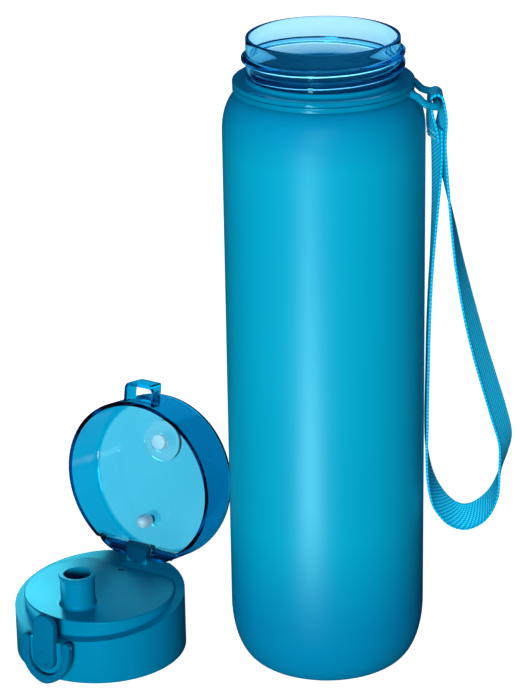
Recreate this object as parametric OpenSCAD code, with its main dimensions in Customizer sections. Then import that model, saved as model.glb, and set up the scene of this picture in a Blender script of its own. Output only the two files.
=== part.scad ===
// Screw-lid drinking bottle with a flip cap, a carry loop and a webbing wrist strap.
// The bottle stands on its foot with the lid off: the lid stands on the same
// surface beside it, with its flip cap sprung open.
// Origin: centre of the bottle's foot. +Z up, +X towards the carry loop.

/* [Bottle] */
// Outside diameter of the body
body_d = 80; // [70:1:94]
// Height of the mouth's rim above the foot
bottle_h = 265; // [215:1:320]
// Wall of the body
body_wall = 2; // [1.5:0.1:2.6]
// Thickness of the floor
floor_t = 3.5; // [2.5:0.1:5]
// How far the foot is drawn in from the body
foot_in = 10; // [7:0.5:13]
// Height over which the foot is drawn in
foot_h = 24; // [16:1:30]
// How far the shoulder is drawn in from the body
shoulder_in = 8; // [6:0.5:9]
// Height over which the shoulder is drawn in
shoulder_h = 16; // [10:0.5:22]

/* [Neck] */
// Bore of the mouth
mouth_d = 57.4; // [50:0.2:59]
// Wall of the neck
neck_wall = 1.5; // [1.2:0.1:2]
// Height of the rim above the flange
neck_h = 17.2; // [15:0.1:22]
// Thickness of the flange
flange_t = 2; // [1.5:0.1:3]
// Pitch of the screw thread
thread_pitch = 4.8; // [4:0.1:5.4]
// Depth of the screw thread
thread_depth = 1.8; // [1.2:0.1:2]

/* [Carry collar] */
// Thickness of the collar ring
collar_t = 2.2; // [1.8:0.1:3]
// Diameter of the loop's round bars
loop_bar_d = 3; // [2.4:0.1:3.4]
// Width between the centres of the loop's arms
loop_w = 22.4; // [20:0.2:26]
// Reach of the outer bar's centre beyond the body
loop_reach = 4; // [3.6:0.1:6]
// Drop of the outer bar's centre below the collar
loop_drop = 6.1; // [5:0.1:7]

/* [Strap] */
// Width of the webbing
strap_w = 12; // [8:0.5:14]
// Thickness of the webbing
strap_t = 1.1; // [0.8:0.05:1.15]

/* [Lid] */
// Space between the bottle and the lid beside it
lid_gap = 19.75; // [12:0.25:60]
// How far behind the bottle's centre the lid stands
lid_back = 5; // [-10:1:15]
// Turn of the latch from straight ahead
latch_turn = 32; // [0:1:60]
// Wall of the lid's skirt
skirt_wall = 3.35; // [2.8:0.05:4]
// Height of the deck above the skirt's lower edge
deck_z = 26.2; // [25.5:0.1:30]
// Thickness of the deck
deck_t = 1.8; // [1.4:0.1:2.4]
// Height of the parting line at the lid's centre
parting_z = 23.3; // [22.5:0.1:25]
// Slope of the parting line, up towards the hinge
parting_tilt = 7; // [4:0.5:9]

/* [Spout] */
// Outside diameter of the spout
spout_d = 14.6; // [12:0.2:16]
// Bore of the spout
spout_bore = 11.6; // [9:0.2:12.6]
// Height of the spout above the deck
spout_h = 13.6; // [9:0.2:14]
// Distance of the spout from the lid's centre
spout_y = 15.5; // [12:0.5:17]

/* [Flip cap] */
// Height of the closed cap's top above the skirt's lower edge
cap_top = 44; // [42:0.5:52]
// Wall of the cap
cap_wall = 1.8; // [1.4:0.1:2.2]
// Opening angle, from closed to the stop
cap_open = 100; // [60:1:100]
// Height of the hinge axis above the parting line
hinge_up = 3.2; // [3.1:0.1:4]
// Diameter of the hinge pin
hinge_pin_d = 2; // [1.6:0.1:2.4]
// Radius of the hinge post's round top
post_r = 3.9; // [3.4:0.1:4.2]
// Width of the hinge post
post_w = 10; // [8:0.5:12]

/* [Latch] */
// Width of the latch button
button_w = 10.4; // [8:0.2:11]
// Height of the latch button
button_h = 24; // [20:0.5:24.5]
// Height of the latch pin above the skirt's lower edge
latch_z = 18; // [17.5:0.1:18.5]
// Diameter of the latch pin
latch_pin_d = 1.6; // [1.2:0.1:1.8]
// Width of the lock ring's arms
lock_arm = 3.9; // [3:0.1:4.4]
// Tilt of the hanging lock ring, out from the skirt
lock_tilt = 8; // [7:0.5:12]

/* [Hidden] */
$fn = 96;

// Shared clearances
eps = 0.02;
slide_gap = 0.3;
pin_play = 0.05;
parting_gap = 0.2;

// Bottle
body_r = body_d / 2;
mouth_r = mouth_d / 2;
neck_r = mouth_r + neck_wall;
thread_r = neck_r + thread_depth;
flange_top = bottle_h - neck_h;
flange_bottom = flange_top - flange_t;
groove_r = neck_r + 1;
thread_low = 5.2;
collar_gap = 0.2;
shoulder_top = flange_bottom - collar_t - 2 * collar_gap;
shoulder_z = shoulder_top - shoulder_h;
shoulder_r = body_r - shoulder_in;
foot_r = body_r - foot_in;
edge_round = 0.5;

// Lid
thread_play = 0.4;
skirt_in_r = thread_r + thread_play;
lid_r = skirt_in_r + skirt_wall;
flange_r = lid_r - 0.05;
deck_r = lid_r - cap_wall - 2.25;
gasket_t = 1.4;
seat_gap = 1;
gasket_z = neck_h - seat_gap;
seat_z = gasket_z + gasket_t;
seat_t = 1.4;
plug_r = mouth_r - 0.4;
plug_wall = 1.3;
plug_h = 3.4;
under_deck_r = deck_r - deck_t;
lid_x = -(body_r + lid_gap + lid_r);

// Spout
spout_top = deck_z + spout_h;
lip_r = spout_d / 2 + 0.5;
lip_h = 1.6;

// Hinge, in the lid's own frame: the hinge is at +Y and the latch at -Y
hinge_y = lid_r - 4.05;
hinge_z = parting_z + hinge_y * tan(parting_tilt) + hinge_up;
chord_y = hinge_y + 2.2;
knuckle_r = hinge_up - parting_gap;
coil_wire = 0.6;
coil_turns = 2;
coil_room = coil_turns * coil_wire + 0.6;
notch_w = post_w + 2 * coil_room;
notch_top = hinge_z + post_r + 1.1;
hinge_pin_len = 2 * (sqrt(lid_r * lid_r - hinge_y * hinge_y) - 1);
coil_r = hinge_pin_d / 2 + 0.2 + coil_wire / 2;
bridge_r = post_r + 1;
bridge_at = 18;

// Flip cap
cap_in_r = lid_r - cap_wall;
ceiling_z = cap_top - cap_wall;
cap_round = 3.5;
seal_r = 9;
seal_plug_r = spout_bore / 2 - 1;
seal_button_r = 3.3;
vent_x = -2.5;
vent_y = 19.8;
vent_r = 1.4;
vent_post_r = 2;
vent_len = 11;
vent_ball_r = 2.9;

// Latch, proud of the skirt at -Y
latch_y = -(lid_r + 2.65);
button_front = latch_y - 3.6;
button_back = latch_y + 0.7;
button_top = latch_z + 13;
button_low = button_top - button_h;
button_lean = 1.2;
dimple_r = 3.8;
dimple_z = button_low + button_w / 2; // also the centre of the button's round foot
cheek_t = 2.1;
housing_w = button_w + 2 * slide_gap + 2 * cheek_t;
housing_front = latch_y - 1.2;
housing_top = parting_z - lid_r * tan(parting_tilt) + 0.7;
housing_low = dimple_z - housing_w / 2;
slot_floor = latch_y + 2;
hood_w = housing_w - 0.2;
hood_wall = 1.4;
hood_front = button_front - 1.8;
hood_low = housing_top + 0.5;
hood_h = 9;
ledge_out = 1.15;
nose_gap = 0.4;
lock_in_w = housing_w + 2 * slide_gap + 0.2;
lock_out_w = lock_in_w + 2 * lock_arm;
lock_reach = 13.9;
lock_band = 3.6;
lock_point = 1.94;
lock_t = 3;
spring_wire = 0.5;
spring_coil_r = 1.7;
spring_turns = 4;
spring_z = latch_z - 7;

// Loop
collar_in_r = groove_r + 0.3;
collar_out_r = flange_r - 0.1;
collar_z = shoulder_top + collar_gap;
bar_x = body_r + loop_reach;
bar_z = collar_z + collar_t / 2 - loop_drop;
bar_r = loop_bar_d / 2;
corner_swell = 0.04;

// Points on an arc of an ellipse, from one angle to another
function arc(c, a, b, from, to, n = 12) =
    [for (i = [0:n]) let (t = from + (to - from) * i / n) [c[0] + a * cos(t), c[1] + b * sin(t)]];

// ---------- Bottle ----------

module thread_half(root_r, crest_r, z, turn) {
    tilt = atan(thread_pitch / (4 * crest_r));
    rotate([0, 0, turn])
        translate([0, 0, z])
            rotate([0, tilt, 0])
                rotate_extrude(angle = 180)
                    polygon([[root_r, -1.3], [crest_r, -0.6], [crest_r, 0.6], [root_r, 1.3]]);
}

// Right-hand thread of three half turns, each a tilted half ring
module thread(root_r, crest_r, z, start) {
    for (i = [0:2])
        thread_half(root_r, crest_r, z + i * thread_pitch / 2, start + 180 * i);
}

module bottle_outline() {
    inner_foot = foot_in - body_wall;
    inner_shoulder = body_r - body_wall - mouth_r;
    polygon(concat(
        [[0, 0]],
        arc([foot_r, foot_h], foot_in, foot_h, -90, 0),
        arc([shoulder_r, shoulder_z], shoulder_in, shoulder_h, 0, 90),
        [[groove_r, shoulder_top], [groove_r, flange_bottom]],
        arc([flange_r - edge_round, flange_bottom + edge_round], edge_round, edge_round, -90, 0, 4),
        arc([flange_r - edge_round, flange_top - edge_round], edge_round, edge_round, 0, 90, 4),
        arc([neck_r + 1, flange_top + 1], 1, 1, 270, 180, 5),
        arc([neck_r - neck_wall / 2, bottle_h - neck_wall / 2], neck_wall / 2, neck_wall / 2, 0, 180, 8),
        arc([mouth_r, shoulder_z], inner_shoulder, shoulder_h - 2.5, 90, 0),
        arc([foot_r, foot_h], inner_foot, foot_h - floor_t, 0, -90),
        [[0, floor_t]]
    ));
}

module bottle_body() {
    color([0.05, 0.62, 0.80]) {
        rotate_extrude() bottle_outline();
        thread(neck_r - 0.7, thread_r, flange_top + thread_low, 200);
    }
}

// A round bar between two points, with a ball a little proud of it at the far end
module bar(p, q) {
    d = q - p;
    len = norm(d);
    translate(p)
        rotate([0, acos(d[2] / len), atan2(d[1], d[0])])
            cylinder(r = bar_r, h = len, $fn = 32);
    translate(q) sphere(r = bar_r + corner_swell, $fn = 32);
}

module carry_collar() {
    half = loop_w / 2;
    mid_z = collar_z + collar_t / 2;
    root_r = (collar_in_r + collar_out_r) / 2 + 0.3;
    // The arms run level as far as the shoulder's rounding, then down past it
    ease_r = max(root_r, shoulder_r + bar_r + 0.35);
    knee_r = max(collar_out_r + 2.2, ease_r + bar_r + 2.45);
    root_x = sqrt(root_r * root_r - half * half);
    ease_x = sqrt(ease_r * ease_r - half * half);
    knee_x = sqrt(knee_r * knee_r - half * half);
    color([0.10, 0.60, 0.76]) {
        translate([0, 0, collar_z])
            difference() {
                cylinder(r = collar_out_r, h = collar_t);
                translate([0, 0, -1]) cylinder(r = collar_in_r, h = collar_t + 2);
            }
        difference() {
            union() {
                for (side = [-1, 1]) {
                    if (ease_x > root_x + 0.1)
                        bar([root_x, side * half, mid_z], [ease_x, side * half, mid_z]);
                    bar([ease_x, side * half, mid_z], [knee_x, side * half, mid_z - 2]);
                    bar([knee_x, side * half, mid_z - 2], [knee_x + 3.2, side * half, bar_z + 0.9]);
                    bar([knee_x + 3.2, side * half, bar_z + 0.9], [bar_x, side * half, bar_z]);
                }
                bar([bar_x, -half, bar_z], [bar_x, half, bar_z]);
            }
            // Clearance under the flange and over the shoulder
            translate([0, 0, flange_bottom - collar_gap])
                cylinder(r = flange_r + slide_gap, h = 4);
            rotate_extrude()
                polygon(concat([[0, shoulder_z]],
                    arc([shoulder_r, shoulder_z], shoulder_in + collar_gap, shoulder_h + collar_gap, 0, 90),
                    [[0, shoulder_top + collar_gap]]));
        }
    }
}

// ---------- Strap ----------

// The webbing's route from its cut tail, over the loop's outer bar, down the
// outer strand, round the hand loop and back up to the seam. Each point is
// [x from the bar, y, z from the bar, twist of the webbing].
strap_route = [
    [-0.8, 0, -16, 16], [-1.5, 0, -11, 15], [-2.2, 0, -6, 8], [-2.5, 0, -1, 2], [-2.45, 0, 1, 0],
    [-1.7, 0, 2.5, 0], [0, 0, 3.2, 0], [1.7, 0, 2.5, 0], [2.45, 0, 1, 0], [2.6, 0, -1.5, -4],
    [2.6, 0, -7, -12], [2.1, 0, -12, -16], [1.9, 0, -17, -16], [2.5, 0, -23, -13], [3.7, 0, -31, -7],
    [5.4, 0, -42, 1], [7.5, 0, -55, 10], [9.7, -1, -68, 17], [12.2, -1, -80, 23], [15.2, -2, -93, 28],
    [18.6, -2, -106, 31], [22.4, -2, -119, 33], [26.2, -1.5, -132, 34], [29.2, -1, -143.5, 30],
    [28.9, -0.5, -151, 21], [27.8, 0, -158, 11], [26.9, 0, -163.2, 3], [25.8, 0, -167.6, -5],
    [23.9, 0, -171.7, -12], [21.1, 0, -175.5, -22], [17.4, 0, -178.4, -31], [12.9, 0, -179.6, -40],
    [8.7, 0, -178.3, -38], [5.3, 0, -175.4, -32], [2.2, 0, -171.2, -27], [-0.3, 0, -165, -17],
    [-1.9, 0, -158, -9], [-2.8, 0, -149, -3], [-2.9, 0, -138, 0], [-2.8, 0, -125, 0],
    [-2.6, 0, -111, 0], [-2.4, 0, -97, 0], [-1.9, 0, -81, 0], [-1.2, 0, -67, 0], [-0.5, 0, -54, 3],
    [0.1, 0, -42, 7], [0.5, 0, -31, 12], [0.6, 0, -23, 15], [0.5, 0, -16, 16], [0.4, 0, -11, 16]
];

function unit(v) = v / norm(v);
function strap_point(i) =
    [bar_x + strap_route[i][0], strap_route[i][1], bar_z + strap_route[i][2]];
function strap_tangent(i) =
    unit(strap_point(min(i + 1, len(strap_route) - 1)) - strap_point(max(i - 1, 0)));
function strap_across(i) =
    let (t = strap_tangent(i), side = unit([0, 1, 0] - t[1] * t), a = strap_route[i][3])
    cos(a) * side + sin(a) * cross(t, side);
function strap_ring(i) =
    let (p = strap_point(i), w = strap_across(i), n = cross(w, strap_tangent(i)),
         h = strap_w / 2, e = strap_t / 2, c = strap_t / 4)
    [for (k = [[h, -c], [h, c], [h - c, e], [c - h, e], [-h, c], [-h, -c], [c - h, -e], [h - c, -e]])
        p + k[0] * w + k[1] * n];

module wrist_strap() {
    rings = len(strap_route);
    points = [for (i = [0:rings - 1]) each strap_ring(i)];
    sides = [for (i = [0:rings - 2], k = [0:7])
        let (a = 8 * i + k, b = 8 * i + (k + 1) % 8)
        each [[a, a + 8, b], [b, a + 8, b + 8]]];
    first = [for (k = [0:7]) k];
    last = [for (k = [7:-1:0]) 8 * (rings - 1) + k];
    color([0.05, 0.66, 0.84])
        polyhedron(points, concat([first], sides, [last]));
}

// Two rows of bar-tack thread through the webbing's three layers
module strap_stitching() {
    rows = 2;
    stitches = 6;
    color([0.35, 0.80, 0.92])
        translate([bar_x + 0.2, 0, bar_z])
            rotate([0, 0, strap_route[0][3]])
                for (row = [0:rows - 1], k = [0:stitches - 1])
                    translate([-2.6, (k - (stitches - 1) / 2) * strap_w / 7, -12.5 - 2 * row])
                        rotate([0, 90, 0])
                            cylinder(r = 0.3, h = 5.2, $fn = 16);
}

// ---------- Lid ----------

module place_lid() {
    translate([lid_x, lid_back, 0])
        rotate([0, 0, -latch_turn])
            children();
}

// Everything above the parting plane, raised by a gap
module above_parting(gap) {
    size = 4 * lid_r;
    translate([0, 0, parting_z + gap])
        rotate([parting_tilt, 0, 0])
            translate([-size / 2, -size / 2, 0])
                cube([size, size, size]);
}

module ring_solid(out_r, in_r, z, h) {
    translate([0, 0, z])
        difference() {
            cylinder(r = out_r, h = h);
            translate([0, 0, -1]) cylinder(r = in_r, h = h + 2);
        }
}

// A round disc with rounded upper edge, from z = 0
module round_disc(r, h, edge) {
    rotate_extrude()
        polygon(concat([[0, 0], [r, 0]], arc([r - edge, h - edge], edge, edge, 0, 90, 4), [[0, h]]));
}

module skirt_solid() {
    foot = 0.8;
    difference() {
        rotate_extrude()
            polygon(concat([[0, 0]], arc([lid_r - foot, foot], foot, foot, -90, 0, 4),
                [[lid_r, deck_z + 8], [0, deck_z + 8]]));
        above_parting(0);
        // Clearance under the open cap's flat back
        translate([-lid_r / 2.7, chord_y - 0.7, hinge_z - 3.65])
            cube([2 * lid_r / 2.7, 10, 10]);
    }
}

module hinge_post() {
    back = lid_r - 0.35;
    translate([-post_w / 2, hinge_y - post_r, seat_z])
        cube([post_w, back - hinge_y + post_r, hinge_z - seat_z]);
    translate([-post_w / 2, hinge_y, hinge_z])
        rotate([0, 90, 0])
            cylinder(r = post_r, h = post_w, $fn = 64);
}

// A vertical bar with round ends, flat in Y: width, lowest and highest point, front and back
module stadium(w, low, high, front, back) {
    r = w / 2;
    for (z = [low + r, high - r])
        translate([0, back, z])
            rotate([90, 0, 0])
                cylinder(r = r, h = back - front, $fn = 64);
    translate([-r, front, low + r])
        cube([w, back - front, high - low - w]);
}

module latch_housing() {
    depth = -housing_front - skirt_in_r;
    difference() {
        translate([0, -skirt_in_r - 1, 0])
            rotate([90, 0, 0])
                linear_extrude(depth - 1) {
                    translate([0, dimple_z]) circle(r = housing_w / 2);
                    translate([-housing_w / 2, dimple_z]) square([housing_w, housing_top - dimple_z]);
                }
        // Room for the closed cap's wall
        intersection() {
            above_parting(-eps);
            cylinder(r = lid_r + slide_gap, h = deck_z);
        }
    }
}

module spout() {
    r = spout_d / 2;
    translate([0, -spout_y, deck_z - deck_t])
        rotate_extrude()
            polygon(concat(
                [[0, 0], [r + 1.5, 0], [r + 1.5, deck_t]],
                arc([r + 1.5, deck_t + 1.5], 1.5, 1.5, 270, 180, 4),
                [[r, deck_t + spout_h - lip_h - 0.6]],
                arc([lip_r - lip_h / 2, deck_t + spout_h - lip_h / 2], lip_h / 2, lip_h / 2, -60, 90, 6),
                [[0, deck_t + spout_h]]));
}

module lid_base() {
    button_slot = button_w + 2 * slide_gap;
    place_lid() color([0.04, 0.52, 0.70]) {
        difference() {
            union() {
                skirt_solid();
                round_disc(deck_r, deck_z, 0.7);
                spout();
                hinge_post();
                latch_housing();
            }
            translate([0, 0, -1]) cylinder(r = skirt_in_r, h = seat_z + 1);
            translate([0, 0, seat_z - 1]) cylinder(r = plug_r - plug_wall, h = seat_t + 1 + eps);
            translate([0, 0, seat_z + seat_t])
                cylinder(r = under_deck_r, h = deck_z - deck_t - seat_z - seat_t);
            translate([0, -spout_y, seat_z])
                cylinder(r = spout_bore / 2, h = spout_top - seat_z + 1);
            translate([vent_x, vent_y, seat_z])
                cylinder(r = vent_r, h = deck_z - seat_z + 1, $fn = 32);
            // Slot for the button, with a pocket for its spring
            stadium(button_slot, dimple_z - button_slot / 2, housing_top + 20, slot_floor - 20, slot_floor);
            translate([0, slot_floor + 2, spring_z])
                rotate([90, 0, 0])
                    cylinder(r = spring_coil_r + spring_wire, h = 4, $fn = 32);
            translate([-housing_w, latch_y, latch_z])
                rotate([0, 90, 0])
                    cylinder(r = latch_pin_d / 2, h = 2 * housing_w, $fn = 32);
            translate([-post_w, hinge_y, hinge_z])
                rotate([0, 90, 0])
                    cylinder(r = hinge_pin_d / 2, h = 2 * post_w, $fn = 32);
        }
        ring_solid(plug_r, plug_r - plug_wall, seat_z - plug_h, plug_h + seat_t);
        internal_thread();
    }
}

// Thread inside the skirt, half a pitch below the neck's thread when screwed home
module internal_thread() {
    crest = neck_r + thread_play;
    z = thread_low - seat_gap + thread_pitch / 2;
    intersection() {
        thread(skirt_in_r + 0.8, crest, z, 20);
        cylinder(r = skirt_in_r + 0.5, h = seat_z);
    }
}

module lid_gasket() {
    place_lid() color([0.86, 0.93, 0.95])
        ring_solid(skirt_in_r - 0.2, plug_r + 0.1, gasket_z, gasket_t);
}

module hinge_pin() {
    place_lid() color([0.80, 0.82, 0.84])
        translate([-hinge_pin_len / 2, hinge_y, hinge_z])
            rotate([0, 90, 0])
                cylinder(r = hinge_pin_d / 2, h = hinge_pin_len, $fn = 32);
}

module latch_pin() {
    place_lid() color([0.80, 0.82, 0.84])
        translate([-lock_out_w / 2, latch_y, latch_z])
            rotate([0, 90, 0])
                cylinder(r = latch_pin_d / 2, h = lock_out_w, $fn = 32);
}

// A row of wire rings along +X from the origin
module coil(mean_r, wire, turns) {
    for (i = [0:turns - 1])
        translate([wire / 2 + i * (wire + 0.05), 0, 0])
            rotate([0, 90, 0])
                rotate_extrude($fn = 48)
                    translate([mean_r, 0])
                        circle(r = wire / 2, $fn = 16);
}

module latch_spring() {
    pitch = 0.85;
    place_lid() color([0.80, 0.82, 0.84])
        for (i = [0:spring_turns - 1])
            translate([0, slot_floor + 1.6 - i * pitch, spring_z])
                rotate([90, 0, 0])
                    rotate_extrude($fn = 48)
                        translate([spring_coil_r, 0])
                            circle(r = spring_wire / 2, $fn = 16);
}

// ---------- Flip cap ----------

// Swings closed-cap geometry to its open stop about the hinge pin
module open_cap() {
    place_lid()
        translate([0, hinge_y, hinge_z])
            rotate([-cap_open, 0, 0])
                translate([0, -hinge_y, -hinge_z])
                    children();
}

module cap_cup() {
    low = parting_z - lid_r * tan(parting_tilt) - 2;
    inner_round = cap_round - cap_wall;
    rotate_extrude()
        polygon(concat(
            [[cap_in_r, low], [lid_r, low]],
            arc([lid_r - cap_round, cap_top - cap_round], cap_round, cap_round, 0, 90, 8),
            [[0, cap_top], [0, ceiling_z]],
            arc([cap_in_r - inner_round, ceiling_z - inner_round], inner_round, inner_round, 90, 0, 6)));
}

// The flat back wall, and the thick bar along its foot that holds the pin
module cap_back() {
    intersection() {
        translate([0, 0, deck_z]) cylinder(r = lid_r - 0.3, h = cap_top - 1 - deck_z);
        union() {
            translate([-lid_r, chord_y - cap_wall, hinge_z])
                cube([2 * lid_r, cap_wall, cap_top - hinge_z]);
            translate([-lid_r, hinge_y, hinge_z])
                rotate([0, 90, 0])
                    cylinder(r = knuckle_r, h = 2 * lid_r, $fn = 64);
            translate([-lid_r, hinge_y - knuckle_r, hinge_z])
                cube([2 * lid_r, chord_y - hinge_y + knuckle_r, knuckle_r]);
        }
    }
}

// Plan of the hood that closes over the button's head
module hood_plan(w, front, r) {
    back = -lid_r + 3;
    for (side = [-1, 1])
        translate([side * (w / 2 - r), front + r]) circle(r = r, $fn = 48);
    translate([-w / 2, front + r]) square([w, back - front - r]);
    translate([-w / 2 + r, front]) square([w - 2 * r, back - front]);
}

module cap_hood() {
    intersection() {
        translate([0, 0, hood_low])
            difference() {
                linear_extrude(hood_h) hood_plan(hood_w, hood_front, 3);
                translate([0, 0, -1])
                    linear_extrude(hood_h + 2) hood_plan(hood_w - 2 * hood_wall, hood_front + hood_wall, 1.6);
            }
        // Round shoulders, so that the lock ring swings up past them
        round_z = latch_z + lock_reach - lock_in_w / 2 - 0.9;
        stadium(hood_w, hood_low - 2 * hood_w, round_z + hood_w / 2, -2 * lid_r, 0);
    }
    // Ledge that the button's nose holds down
    translate([-button_w / 2 + 0.8, -lid_r - ledge_out, hood_low + hood_h - 2.2])
        cube([button_w - 1.6, ledge_out + cap_wall / 2, 1.6]);
}

module flip_cap() {
    open_cap() color([0.20, 0.70, 0.86]) {
        difference() {
            union() {
                difference() {
                    cap_cup();
                    translate([-lid_r, chord_y, 0]) cube([2 * lid_r, 20, 2 * cap_top]);
                }
                cap_back();
                difference() {
                    cap_hood();
                    cylinder(r = cap_in_r + cap_wall / 2, h = 2 * cap_top);
                }
            }
            difference() {
                translate([0, 0, -3 * lid_r]) cylinder(r = 2 * lid_r, h = 3 * lid_r + cap_top);
                above_parting(parting_gap);
            }
            // Round the lower back edge about the hinge axis
            difference() {
                translate([-lid_r, hinge_y - knuckle_r, hinge_z - 8])
                    cube([2 * lid_r, 12, 8]);
                translate([-2 * lid_r, hinge_y, hinge_z])
                    rotate([0, 90, 0])
                        cylinder(r = knuckle_r, h = 4 * lid_r, $fn = 64);
            }
            translate([-notch_w / 2, hinge_y - 6, 0])
                cube([notch_w, 20, notch_top]);
            translate([-2 * lid_r, hinge_y, hinge_z])
                rotate([0, 90, 0])
                    cylinder(r = hinge_pin_d / 2 + pin_play, h = 4 * lid_r, $fn = 32);
        }
        // Post that carries the vent plug
        translate([vent_x, vent_y, ceiling_z - vent_len + vent_ball_r])
            cylinder(r = vent_post_r, h = vent_len - vent_ball_r + 0.5, $fn = 32);
        translate([vent_x, vent_y, ceiling_z - 2])
            cylinder(r1 = vent_post_r, r2 = vent_post_r + 1.9, h = 2.2, $fn = 32);
    }
}

module spout_seal() {
    gap = 0.1;
    pad = ceiling_z - spout_top - gap;
    open_cap() color([0.78, 0.93, 0.97])
        translate([0, -spout_y, 0]) {
            translate([0, 0, spout_top + gap]) cylinder(r = seal_r, h = pad);
            translate([0, 0, spout_top + gap - 2]) cylinder(r = seal_plug_r, h = 2.5, $fn = 64);
            translate([0, 0, spout_top + gap - 2.8]) cylinder(r = seal_button_r, h = 2, $fn = 48);
        }
}

module vent_plug() {
    low = ceiling_z - vent_len + vent_ball_r;
    open_cap() color([0.78, 0.93, 0.97])
        translate([vent_x, vent_y, low])
            difference() {
                union() {
                    sphere(r = vent_ball_r, $fn = 48);
                    cylinder(r = vent_ball_r, h = 3.4, $fn = 48);
                }
                cylinder(r = vent_post_r, h = 6, $fn = 32);
            }
}

// Double torsion spring: a coil each side of the post, joined over its top
module hinge_spring() {
    inner = post_w / 2 + 0.2;
    reach = bridge_r - coil_r;
    turn = cap_open + bridge_at;
    open_cap() color([0.80, 0.82, 0.84])
        translate([0, hinge_y, hinge_z])
            rotate([turn, 0, 0]) {
                for (side = [0, 1]) mirror([side, 0, 0])
                    translate([inner, 0, 0]) {
                        coil(coil_r, coil_wire, coil_turns);
                        translate([coil_wire / 2, 0, coil_r])
                            cylinder(r = coil_wire / 2, h = reach, $fn = 16);
                        translate([coil_wire / 2, 0, bridge_r])
                            sphere(r = coil_wire / 2, $fn = 16);
                    }
                translate([-inner - coil_wire / 2, 0, bridge_r])
                    rotate([0, 90, 0])
                        cylinder(r = coil_wire / 2, h = 2 * inner + coil_wire, $fn = 16);
            }
}

// ---------- Latch ----------

module latch_button() {
    lean_z = latch_z - 2;
    side = [
        [button_front, button_low], [button_front, lean_z], [button_front + button_lean, button_top],
        [latch_y + 1.1 + nose_gap - 0.4, button_top], [latch_y + 1.1, button_top - 1.8],
        [button_back, button_top - 2.4], [button_back, button_low]
    ];
    place_lid() color([0.02, 0.47, 0.65])
        difference() {
            intersection() {
                stadium(button_w, button_low, button_top, button_front - 1, button_back + 2);
                translate([-button_w, 0, 0])
                    rotate([90, 0, 90])
                        linear_extrude(2 * button_w) polygon(side);
            }
            translate([-button_w, latch_y, latch_z])
                rotate([0, 90, 0])
                    cylinder(r = latch_pin_d / 2 + pin_play, h = 2 * button_w, $fn = 32);
            // Round finger dimple
            translate([0, button_front + 0.6, dimple_z])
                rotate([90, 0, 0])
                    cylinder(r1 = dimple_r - 0.4, r2 = dimple_r + 0.3, h = 1, $fn = 64);
        }
}

// Flat U that hangs round the button, coming to a blunt point at its foot
module lock_outline() {
    low = lock_reach + lock_band;
    in_r = lock_in_w / 2;
    out_r = lock_out_w / 2;
    arm_x = out_r - lock_arm / 2;
    arch_z = -4;
    difference() {
        union() {
            for (side = [-1, 1])
                translate([side * arm_x, 0]) circle(r = lock_arm / 2, $fn = 32);
            translate([-out_r, arch_z]) square([lock_out_w, -arch_z]);
            intersection() {
                translate([-lock_point, arch_z]) circle(r = out_r + lock_point);
                translate([lock_point, arch_z]) circle(r = out_r + lock_point);
                translate([-out_r, -low]) square([lock_out_w, low + arch_z + eps]);
            }
        }
        translate([0, in_r - lock_reach]) circle(r = in_r);
        translate([-in_r, in_r - lock_reach]) square([lock_in_w, lock_reach]);
    }
}

module lock_ring() {
    low = lock_reach + lock_band;
    place_lid() color([0.04, 0.50, 0.68])
        translate([0, latch_y, latch_z])
            rotate([-lock_tilt, 0, 0])
                difference() {
                    union() {
                        translate([0, lock_t / 2, 0])
                            rotate([90, 0, 0])
                                linear_extrude(lock_t) lock_outline();
                        // Finger tab, proud of the band
                        translate([-2.2, 0, 0])
                            rotate([90, 0, 90])
                                linear_extrude(4.4)
                                    polygon([[0, 0.3 - low], [0, 2.6 - low], [-lock_t / 2, 2.6 - low],
                                        [-lock_t / 2 - 1.2, 1 - low], [-lock_t / 2 - 1.2, 0.4 - low]]);
                    }
                    translate([-lock_out_w, 0, 0])
                        rotate([0, 90, 0])
                            cylinder(r = latch_pin_d / 2 + pin_play, h = 2 * lock_out_w, $fn = 32);
                }
}

bottle_body();
carry_collar();
wrist_strap();
strap_stitching();
lid_base();
lid_gasket();
hinge_pin();
latch_pin();
latch_spring();
flip_cap();
spout_seal();
vent_plug();
hinge_spring();
latch_button();
lock_ring();
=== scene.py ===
# %% [markdown]
# # A drinking bottle, its sprung lid and its wrist strap
#
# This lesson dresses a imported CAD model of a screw-lid drinking bottle. The bottle
# stands on its foot with the mouth open, a webbing strap hangs from the loop on its
# collar, and the lid stands beside it with the flip cap sprung open. The CAD solids
# are the fixed frame: they move in the simulator, and each piece made here rides on
# one of their bodies.

import math

import bpy
from mathutils import Matrix, Vector


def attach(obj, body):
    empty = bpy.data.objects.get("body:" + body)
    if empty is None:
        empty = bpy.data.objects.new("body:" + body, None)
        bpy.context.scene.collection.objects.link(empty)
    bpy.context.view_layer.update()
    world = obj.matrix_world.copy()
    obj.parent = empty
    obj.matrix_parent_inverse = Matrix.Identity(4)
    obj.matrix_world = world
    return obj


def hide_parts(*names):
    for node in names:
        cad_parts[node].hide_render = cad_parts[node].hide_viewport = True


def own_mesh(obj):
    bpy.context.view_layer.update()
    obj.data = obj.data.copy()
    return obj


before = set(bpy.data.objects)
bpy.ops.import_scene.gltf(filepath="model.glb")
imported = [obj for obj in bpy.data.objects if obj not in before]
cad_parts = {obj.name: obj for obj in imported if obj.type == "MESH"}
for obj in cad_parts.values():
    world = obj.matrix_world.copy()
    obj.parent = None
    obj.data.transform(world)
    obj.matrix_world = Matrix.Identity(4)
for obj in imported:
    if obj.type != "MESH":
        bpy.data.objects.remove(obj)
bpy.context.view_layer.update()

# %% [markdown]
# ## The camera
#
# A product picture is taken from some way off with a long lens, which keeps the
# bottle's sides nearly parallel. The camera could be aimed by hand, but its place,
# pitch and lens are known here, so they are given as numbers. It looks along +Y and
# down at 21 degrees, with about one degree of roll.

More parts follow.
